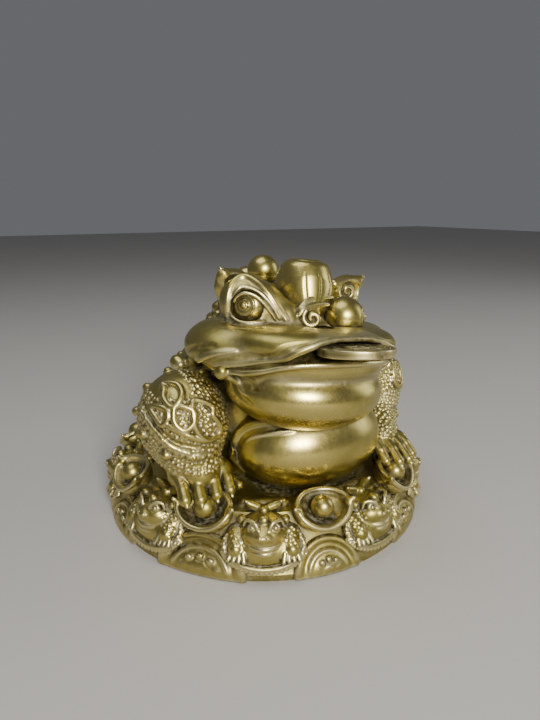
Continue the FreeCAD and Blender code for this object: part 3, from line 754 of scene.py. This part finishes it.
# ---- the base's ornaments, sculpted at the front
def ingot():
    """A boat-shaped ingot: a shallow dish with low peaks at its ends and a ball in the middle."""
    clay = Clay((-17, -12, -12), (17, 12, 10), 0.42)
    clay.add([egg((0, 0, 0), (13.0, 9.8, 9.4))], reach=20)
    clay.limit(lambda x, y, z: z - (0.4 + 2.6 * np.square(x / 12.5)), 1.0)
    clay.cut([egg((0, 0, 2.2), (10.9, 7.8, 5.4))], 1.0)
    turns = np.linspace(0, 2 * math.pi, 28, endpoint=False)
    rim = curve([(12.5 * math.cos(t), 9.4 * math.sin(t), 0.4 + 2.8 * math.cos(t) ** 2) for t in turns], 2,
                closed=True)
    clay.add(rope(np.vstack([rim, rim[:1]]), 1.2, 1.0), 0.6, 3)
    for s in (-1, 1):
        clay.add([rod((s * 12.2, 0, 2.8), (s * 14.2, 0, 5.2), 1.9, 0.9)], 1.4)
    clay.add([ball((0, 0.6, 1.2), 5.2)], 0.4)
    return clay


def leaned(points):
    """The ingot's place: tipped outward on the base's shoulder."""
    c, s = math.cos(INGOT_LEAN), math.sin(INGOT_LEAN)
    y, z = points[:, 1], points[:, 2]
    return np.stack([points[:, 0], c * y - s * z, s * y + c * z], 1) + INGOT_CENTRE


def toadlet():
    """A small toad crouching outward in a round beaded frame."""
    clay = Clay((-21.5, -92, 1.5), (21.5, -60, 33), 0.42)
    clay.add([egg((0, -77.5, 13.6), (17.6, 9.0, 8.4), (0, 0, 40))], 0, 20)
    clay.add([egg((0, -74, 18), (13.0, 10.0, 9.6))], 1.5, 10)
    ring = [(17.4 * math.cos(t), -79.6 + 6.2 * math.sin(t), 15.4 + 8.2 * math.sin(t))
            for t in np.linspace(0, 2 * math.pi, 40)]
    clay.add(rope(np.array(ring), 1.25, 1.0), 0.8, 3)
    outer = [(18.6 * math.cos(t), -79.2 + 7.0 * math.sin(t), 14.6 + 9.4 * math.sin(t))
             for t in np.linspace(-3.0, -0.14, 24)]
    clay.add([ball(p, 1.15) for p in clay.snap(outer, 0.2)], 0.3, 3)
    # The head: a broad snout, eyes under slanting brows, a ball on the forehead, three folds of lip
    clay.add([egg((0, -79.8, 21.4), (9.4, 6.6, 5.6))], 1.5)
    clay.add([ball((0, -79.2, 27.4), 2.6)], 0.6)
    clay.add([egg((0, -85.0, 22.2), (3.3, 2.6, 2.4))], 1.2)
    for s in (-1, 1):
        clay.add([ball((s * 4.8, -81.6, 25.4), 2.4)], 0.5)
        clay.cut([hoop((s * 5.1, -83.4, 25.9), (s * 0.3, -0.9, 0.4), 1.25, 0.3)], 0.3, 2)
        brow = [(s * 1.8, -84.2, 24.2), (s * 3.8, -82.8, 28.0), (s * 7.2, -80.4, 28.2),
                (s * 8.6, -80.0, 25.4)]
        clay.add(rope(curve(brow, 5), 0.85, 0.7), 0.4, 3)
        clay.add([egg((s * 9.6, -76.0, 26.0), (2.0, 2.4, 2.0))], 0.6)
        clay.add([ball((s * 1.7, -86.8, 23.2), 0.9)], 0.4)
    for width, high, out in ((8.8, 20.0, 85.6), (8.4, 17.8, 86.2), (8.2, 15.6, 86.2)):
        lip = curve([(-width, -out + 6.5, high + 1.6), (-width * 0.6, -out + 2.0, high - 0.2),
                     (0, -out, high - 0.4), (width * 0.6, -out + 2.0, high - 0.2),
                     (width, -out + 6.5, high + 1.6)], 5)
        clay.add(rope(lip, 1.15, 0.7), 0.4, 3)

    def on_legs(p):
        return (np.abs(p[:, 0]) > 8.5) & (p[:, 2] > 12) & (p[:, 2] < 24) & (p[:, 1] > -84)

    # Pebbled legs and spread toes
    for s in (-1, 1):
        clay.add([rod((s * 11.6, -76, 19), (s * 12.2, -82.5, 15.4), 4.4, 3.2)], 1.0)
        for k in range(4):
            root = arr((s * (9.0 + 1.7 * k), -84.4 + 0.6 * k, 14.6))
            clay.add([rod(root, root + (s * (0.6 * k - 0.5), -2.2, -3.0), 1.25, 1.0)], 0.3, 3)
    clay.pebbles(1.4, 0.68, 0.25, on_legs, 11, 0.2)
    clay.limit(lambda x, y, z: 2.2 - z)
    return clay


def rim_coin(radius):
    """A coin leaning on the slope: a broad raised rim, a groove, and petals round a low disc."""
    lean = arr((0, -0.87, 0.492))
    along = arr((0, -0.492, -0.87))
    middle = arr((0, -83.2, 0.4))

    def on(x, up, out):
        return middle + lean * out - along * up + arr((x, 0, 0))

    clay = Clay((-radius - 1.5, -96, 0.2), (radius + 1.5, -62, radius + 2), 0.45)
    clay.add([disc(middle, lean, radius, 3.0, 1.4)], reach=20)
    clay.add([hoop(on(0, 0, 2.6), lean, radius - 1.9, 1.7)], 0.8, 3)
    clay.cut([hoop(on(0, 0, 3.6), lean, radius - 4.8, 1.5)], 0.8, 3)
    clay.add([egg(on(0, 0, 0.6), (radius - 6.0, radius - 6.0, 3.8), (0, 0, 60.5))], 0.6, 6)
    clay.add([hoop(on(0, 0, 2.7), lean, radius - 7.2, 0.9)], 0.6, 3)
    for k in range(5):
        a = math.radians(18 + 36 * k)
        petal = on((radius - 11.0) * math.cos(a), (radius - 11.0) * math.sin(a), 4.0)
        clay.add([egg(petal, (1.5, 1.3, 1.5))], 0.4, 2)
        clay.cut([hoop(petal, lean, 2.2, 0.35)], 0.3, 2)
    clay.add([disc(on(0, 0, 3.8), lean, 3.4, 1.2, 0.8)], 0.5, 3)
    clay.limit(lambda x, y, z: np.sqrt(x * x + y * y) - 85.6, 2.0)
    clay.limit(lambda x, y, z: 0.35 - z)
    return clay


def fin():
    """The pointed bow of folded leaf between two ingots, behind each small toad."""
    clay = Clay((-13, -78, 24), (13, -58, 38), 0.42)
    for s in (-1, 1):
        clay.add([rod((s * 1.2, -70, 27.5), (s * 6.0, -69, 29.0), 2.0, 2.2)], 1.0, 8)
        clay.add([rod((s * 6.0, -69, 29.0), (s * 7.8, -70.2, 31.2), 1.9, 0.8)], 0.8, 4)
        clay.ridge([(s * 2.2, -72.5, 28.2), (s * 7.0, -71.6, 29.6)], 0.35, 0.2, 0.4, 0.5, cutting=True)
    clay.add([ball((0, -71.5, 27.5), 2.4)], 0.5)
    clay.add([rod((-9, -64, 26), (9, -64, 26), 3.0)], 3.0, 6)
    stand(clay)
    return clay


def mouth_coin():
    """A coin with a square hole, raised rims and plain petals, lying level at its own centre."""
    clay = Clay((-16.6, -16.6, -0.6), (16.6, 16.6, 4.2), 0.3)
    half = COIN_THICK / 2
    clay.add([disc((0, 0, half), (0, 0, 1), COIN_RADIUS, half, 0.5)], reach=10)
    for z, s in ((COIN_THICK, 1), (0, -1)):
        clay.cut([disc((0, 0, z + s * 0.75), (0, 0, 1), COIN_RADIUS - 2.0, 1.35, 0.3)], 0.3)
        collar = [(x, y, z - s * 0.35) for x, y in ((-3.6, -3.6), (3.6, -3.6), (3.6, 3.6), (-3.6, 3.6))]
        clay.add(rope(np.array(collar + collar[:1]), 0.55, 1.0), 0.2, 2)
        for k in range(8):
            a = k * math.pi / 4
            spot = arr((9.2 * math.cos(a), 9.2 * math.sin(a), z - s * 0.75))
            clay.add([egg(spot, (2.6, 1.2, 0.75), (math.degrees(a), 0, 0))], 0.2, 2)
            edge = arr((12.4 * math.cos(a + 0.39), 12.4 * math.sin(a + 0.39), z - s * 0.7))
            clay.add([egg(edge, (0.8, 0.8, 0.6))], 0.2, 2)
    clay.cut([block((-2.5, -2.5, -2), (2.5, 2.5, 6))], 0.2, 2)
    return clay


def spine_ball(place, radius):
    c = arr(place)
    clay = Clay(c - radius - 1.5, c + radius + 1.5, 0.42)
    clay.add([egg(c, (radius, radius, radius * 0.98))], reach=20)
    out = c - arr((0, 6, 62))
    out /= np.linalg.norm(out)
    clay.cut([hoop(c - out * radius * 0.2, out, radius * 0.99, 0.45)], 0.5, 2)
    return clay


# ---- finishes
def brass(name, tint, polish, dust, grain, scale):
    """Cast brass: olive patina in patches, a painted highlight on the ridges and edges, painted shade in the
    hollows and between parts, and pale dust in the hollows.
    """
    mat = bpy.data.materials.new(name)
    mat.use_nodes = True
    tree = mat.node_tree
    nodes, links = tree.nodes, tree.links
    shader = nodes["Principled BSDF"]

    def node(kind, **values):
        made = nodes.new(kind)
        for key, value in values.items():
            if hasattr(made, key):
                setattr(made, key, value)
            else:
                made.inputs[key].default_value = value
        return made

    def noise(size, detail=4.0, rough=0.6):
        made = node("ShaderNodeTexNoise")
        made.inputs["Scale"].default_value = size
        made.inputs["Detail"].default_value = detail
        made.inputs["Roughness"].default_value = rough
        links.new(place.outputs["Object"], made.inputs["Vector"])
        return made.outputs["Fac"]

    def span(value, low, high, to_low=0.0, to_high=1.0):
        made = node("ShaderNodeMapRange")
        made.interpolation_type = "SMOOTHSTEP"
        for slot, number in zip(("From Min", "From Max", "To Min", "To Max"), (low, high, to_low, to_high)):
            made.inputs[slot].default_value = number
        links.new(value, made.inputs["Value"])
        return made.outputs["Result"]

    def maths(kind, a, b):
        made = node("ShaderNodeMath")
        made.operation = kind
        made.use_clamp = kind in ("ADD", "SUBTRACT")
        for slot, value in ((0, a), (1, b)):
            if isinstance(value, (int, float)):
                made.inputs[slot].default_value = value
            else:
                links.new(value, made.inputs[slot])
        return made.outputs[0]

    def mix(factor, a, b):
        made = node("ShaderNodeMix")
        made.data_type = "RGBA"
        links.new(factor, made.inputs[0])
        for slot, value in ((6, a), (7, b)):
            if isinstance(value, tuple):
                made.inputs[slot].default_value = (*value, 1)
            else:
                links.new(value, made.inputs[slot])
        return made.outputs[2]

    place = node("ShaderNodeTexCoord")
    cavity = node("ShaderNodeAttribute")
    cavity.attribute_name = "cavity"
    ridge_highlight = node("ShaderNodeAttribute")
    ridge_highlight.attribute_name = "ridge_highlight"
    # The ambient occlusion and the cavity attribute make one mask of the hollows and the gaps between parts,
    # where shade falls; it drives the painted shade and the dust below.
    occlusion = node("ShaderNodeAmbientOcclusion")
    occlusion.samples = 6
    occlusion.inputs["Distance"].default_value = 0.006
    shaded = span(occlusion.outputs["AO"], 0.35, 0.85, 0.8, 0.0)
    hollow = maths("ADD", span(cavity.outputs["Fac"], 0.12, 0.6), shaded)
    # Painted highlight: ridges and edges are lifted towards a pale cream in the base colour.
    bright = span(ridge_highlight.outputs["Fac"], 0.06, 0.4)
    patches = noise(38 * scale, 5.0, 0.62)
    fine = noise(420 * scale, 6.0, 0.7)
    body = mix(span(patches, 0.38, 0.68), tint, (tint[0] * 0.66, tint[1] * 0.68, tint[2] * 0.56))
    body = mix(maths("MULTIPLY", bright, 0.6), body, (0.84, 0.74, 0.40))
    # Painted shade: the hollows and the gaps between parts are darkened almost to black in the base colour.
    painted_shade = mix(maths("MULTIPLY", hollow, 0.85), body, (0.06, 0.052, 0.02))
    grime = maths("MULTIPLY", maths("MULTIPLY", hollow, span(fine, 0.42, 0.66)), dust)
    final = mix(grime, painted_shade, (0.34, 0.31, 0.24))
    links.new(final, shader.inputs["Base Color"])
    matte = maths("ADD", span(patches, 0.3, 0.75, polish, polish + 0.12), span(fine, 0.3, 0.8, 0.0, 0.08))
    matte = maths("ADD", maths("ADD", matte, maths("MULTIPLY", hollow, 0.22)), maths("MULTIPLY", grime, 0.4))
    links.new(matte, shader.inputs["Roughness"])
    links.new(maths("SUBTRACT", 1.0, maths("MULTIPLY", grime, 0.9)), shader.inputs["Metallic"])
    bump = node("ShaderNodeBump")
    bump.inputs["Strength"].default_value = grain
    bump.inputs["Distance"].default_value = 0.0004
    pits = node("ShaderNodeTexVoronoi")
    pits.inputs["Scale"].default_value = 700 * scale
    links.new(place.outputs["Object"], pits.inputs["Vector"])
    pitting = span(pits.outputs["Distance"], 0.0, 0.5)
    height = maths("ADD", maths("MULTIPLY", fine, 0.7), maths("MULTIPLY", pitting, 0.3))
    height = maths("ADD", maths("MULTIPLY", height, 0.5), maths("MULTIPLY", noise(110 * scale, 3.0), 0.5))
    links.new(height, bump.inputs["Height"])
    links.new(bump.outputs["Normal"], shader.inputs["Normal"])
    return mat


def steel():
    mat = bpy.data.materials.new("screw_steel")
    mat.use_nodes = True
    tree = mat.node_tree
    nodes, links = tree.nodes, tree.links
    shader = nodes["Principled BSDF"]
    shader.inputs["Metallic"].default_value = 1.0
    place = nodes.new("ShaderNodeTexCoord")
    noise = nodes.new("ShaderNodeTexNoise")
    noise.inputs["Scale"].default_value = 300
    links.new(place.outputs["Object"], noise.inputs["Vector"])
    ramp = nodes.new("ShaderNodeValToRGB")
    ramp.color_ramp.elements[0].color = (0.30, 0.29, 0.28, 1)
    ramp.color_ramp.elements[1].color = (0.62, 0.62, 0.63, 1)
    links.new(noise.outputs["Fac"], ramp.inputs["Fac"])
    links.new(ramp.outputs["Color"], shader.inputs["Base Color"])
    spread = nodes.new("ShaderNodeMapRange")
    spread.inputs["To Min"].default_value = 0.25
    spread.inputs["To Max"].default_value = 0.5
    links.new(noise.outputs["Fac"], spread.inputs["Value"])
    links.new(spread.outputs["Result"], shader.inputs["Roughness"])
    bump = nodes.new("ShaderNodeBump")
    bump.inputs["Strength"].default_value = 0.1
    links.new(noise.outputs["Fac"], bump.inputs["Height"])
    links.new(bump.outputs["Normal"], shader.inputs["Normal"])
    return mat


POLISHED = brass("brass_polished", (0.60, 0.49, 0.16), 0.22, 0.30, 0.03, 1.0)
SKIN = brass("brass_skin", (0.53, 0.435, 0.14), 0.27, 0.5, 0.06, 1.0)
BASE = brass("brass_base", (0.50, 0.41, 0.13), 0.29, 0.7, 0.08, 1.0)
COIN = brass("brass_coin", (0.58, 0.46, 0.17), 0.28, 0.4, 0.06, 1.0)
STEEL = steel()
FINISHES = {"brass_polished": POLISHED, "brass_skin": SKIN, "brass_base": BASE, "brass_coin": COIN}


# ---- turning clay into pieces
def piece(name, skin, move, slot, nodes, body="statue"):
    points, faces, cavity, ridge_highlight = skin
    mesh = bpy.data.meshes.new(name)
    placed = np.asarray(move(points) if move else points, np.float32) * MM
    mesh.vertices.add(len(placed))
    mesh.vertices.foreach_set("co", placed.ravel())
    mesh.loops.add(faces.size)
    mesh.loops.foreach_set("vertex_index", faces.astype(np.int32).ravel())
    mesh.polygons.add(len(faces))
    mesh.polygons.foreach_set("loop_start", np.arange(0, faces.size, 4, dtype=np.int32))
    mesh.polygons.foreach_set("use_smooth", np.ones(len(faces), bool))
    mesh.update(calc_edges=True)
    for label, values in (("cavity", cavity), ("ridge_highlight", ridge_highlight)):
        mesh.attributes.new(label, "FLOAT", "POINT").data.foreach_set("value", values.astype(np.float32))
    mesh.materials.append(FINISHES[slot])
    made = bpy.data.objects.new(name, mesh)
    bpy.context.scene.collection.objects.link(made)
    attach(made, body)
    if nodes:
        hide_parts(*nodes)
    return made


def ringed(turn, place=None):
    """Carries what was sculpted at the front round to its place in the ring."""
    return lambda points: about_z(place(points) if place else points, turn)


def coin_place(points):
    """Tips the coin into its slot in the mouth."""
    c, s = math.cos(COIN_TILT), math.sin(COIN_TILT)
    cr, sr = math.cos(COIN_ROLL), math.sin(COIN_ROLL)
    x, y, z = cr * points[:, 0] + sr * points[:, 2], points[:, 1], cr * points[:, 2] - sr * points[:, 0]
    return np.stack([x, c * y + s * z, c * z - s * y], 1) + arr(COIN_CENTRE)


SPINE = [((1.5, 3, 125.0), 8.4), ((0, 19, 119), 7.0), ((0, 33, 109), 6.5), ((0, 44, 93.5), 6.0),
         ((0, 55, 80.5), 5.5)]
JOBS = {
    "torso": (torso, None, "brass_skin"),
    "upper_head": (upper_head, rolled, "brass_skin"),
    "lower_jaw": (lower_jaw, rolled, "brass_polished"),
    "belly": (belly, None, "brass_polished"),
    "right_foreleg": (right_foreleg, None, "brass_skin"),
    "left_foreleg": (left_foreleg, None, "brass_skin"),
    "hind_leg": (hind_leg, None, "brass_skin"),
    "right_eye": (partial(eye, (-28.4, -36.2, 111.7), 8.7, (-0.79, -0.6, 0.1)), rolled, "brass_polished"),
    "left_eye": (partial(eye, (16.5, -45.6, 108.6), 9.8, (0.80, -0.55, 0.1)), rolled, "brass_polished"),
    "right_ear": (partial(ear, -1), rolled, "brass_polished"),
    "left_ear": (partial(ear, 1), rolled, "brass_polished"),
    "forehead_boss": (forehead_boss, rolled, "brass_polished"),
    "nose_scroll": (nose_scroll, rolled, "brass_polished"),
}
for number, (spot, size) in enumerate(SPINE):
    JOBS[f"spine_boss_{number + 1}"] = (partial(spine_ball, spot, size), None, "brass_polished")
RING_JOBS = {
    "ingot": ingot,
    "base_toad": toadlet,
    "rim_coin": partial(rim_coin, 18.5),
    "rim_coin_small": partial(rim_coin, 16.5),
    "base_fin": fin,
    "mouth_coin": mouth_coin,
}

makers = {name: job[0] for name, job in JOBS.items()} | RING_JOBS
with ThreadPoolExecutor(4) as pool:
    work = {name: pool.submit(lambda make=make: make().skin()) for name, make in makers.items()}
    skins = {name: job.result() for name, job in work.items()}

for name, (_, move, slot) in JOBS.items():
    piece(f"{name}_cast", skins[name], move, slot, [name])
piece("mouth_coin_cast", skins["mouth_coin"], coin_place, "brass_coin", ["mouth_coin"], "coin")

for k in range(RING_COUNT):
    at_ingot = INGOT_START + k * PERIOD
    at_toadlet = TOADLET_START + k * PERIOD
    coin_size = "rim_coin_small" if k == 0 else "rim_coin"
    wide = 1.2 if k == 8 else 1.0
    ring_pieces = (
        ("ingot_cast", "ingot", ringed(at_ingot, leaned), [f"ingot_{k + 1}"]),
        ("rim_coin_cast", coin_size, ringed(at_ingot, lambda p, w=wide: p * (w, 1, 1)),
         [f"rim_coin_{k + 1}"]),
        ("base_toad_cast", "base_toad", ringed(at_toadlet), [f"base_toad_{k + 1}"]),
        ("base_leaf", "base_fin", ringed(at_toadlet), []),
    )
    for name, skin, move, nodes in ring_pieces:
        piece(f"{name}_{k + 1}", skins[skin], move, "brass_base", nodes)

for name, mat in (("base_casting", BASE), ("screws", STEEL), ("washers", STEEL)):
    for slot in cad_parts[name].material_slots:
        slot.material = mat

# ---- floor, light and camera
floor_mesh = bpy.data.meshes.new("floor")
floor_mesh.from_pydata([(-3, -3, 0), (3, -3, 0), (3, 3, 0), (-3, 3, 0)], [], [(0, 1, 2, 3)])
floor = bpy.data.objects.new("floor", floor_mesh)
bpy.context.scene.collection.objects.link(floor)
floor_mat = bpy.data.materials.new("floor")
floor_mat.use_nodes = True
floor_mat.node_tree.nodes["Principled BSDF"].inputs["Base Color"].default_value = (0.46, 0.44, 0.41, 1)
floor_mat.node_tree.nodes["Principled BSDF"].inputs["Roughness"].default_value = 0.8
floor_mesh.materials.append(floor_mat)


def area(name, place, target, wide, high, power, colour=(1, 1, 1)):
    lamp = bpy.data.lights.new(name, "AREA")
    lamp.shape = "RECTANGLE"
    lamp.size, lamp.size_y, lamp.energy, lamp.color = wide, high, power, colour
    made = bpy.data.objects.new(name, lamp)
    bpy.context.scene.collection.objects.link(made)
    made.location = place
    aim = np.array(target, float) - np.array(place, float)
    made.rotation_euler = (math.atan2(math.hypot(aim[0], aim[1]), -aim[2]), 0, math.atan2(-aim[0], aim[1]))


area("window", (-0.22, -0.95, 0.52), (0, 0, 0.07), 0.32, 0.32, 15.0, (1.0, 0.98, 0.92))
area("overhead", (-0.2, 0.0, 0.95), (0, 0, 0), 0.6, 0.6, 3.0, (0.92, 0.95, 1.0))
area("side", (0.9, -0.25, 0.35), (0, 0, 0.06), 0.35, 0.6, 1.8, (0.95, 0.97, 1.0))

world = bpy.data.worlds.new("studio")
bpy.context.scene.world = world
world.use_nodes = True
world.node_tree.nodes["Background"].inputs["Color"].default_value = (0.80, 0.83, 0.88, 1)
world.node_tree.nodes["Background"].inputs["Strength"].default_value = 0.17

lens = bpy.data.cameras.new("camera")
lens.lens, lens.sensor_width, lens.sensor_fit = 27.0, 36.0, "AUTO"
lens.clip_start = 0.01
camera = bpy.data.objects.new("camera", lens)
bpy.context.scene.collection.objects.link(camera)
camera.location = (-0.1346, -0.2501, 0.158)
camera.rotation_euler = (math.radians(74), 0, math.radians(-29))
bpy.context.scene.camera = camera
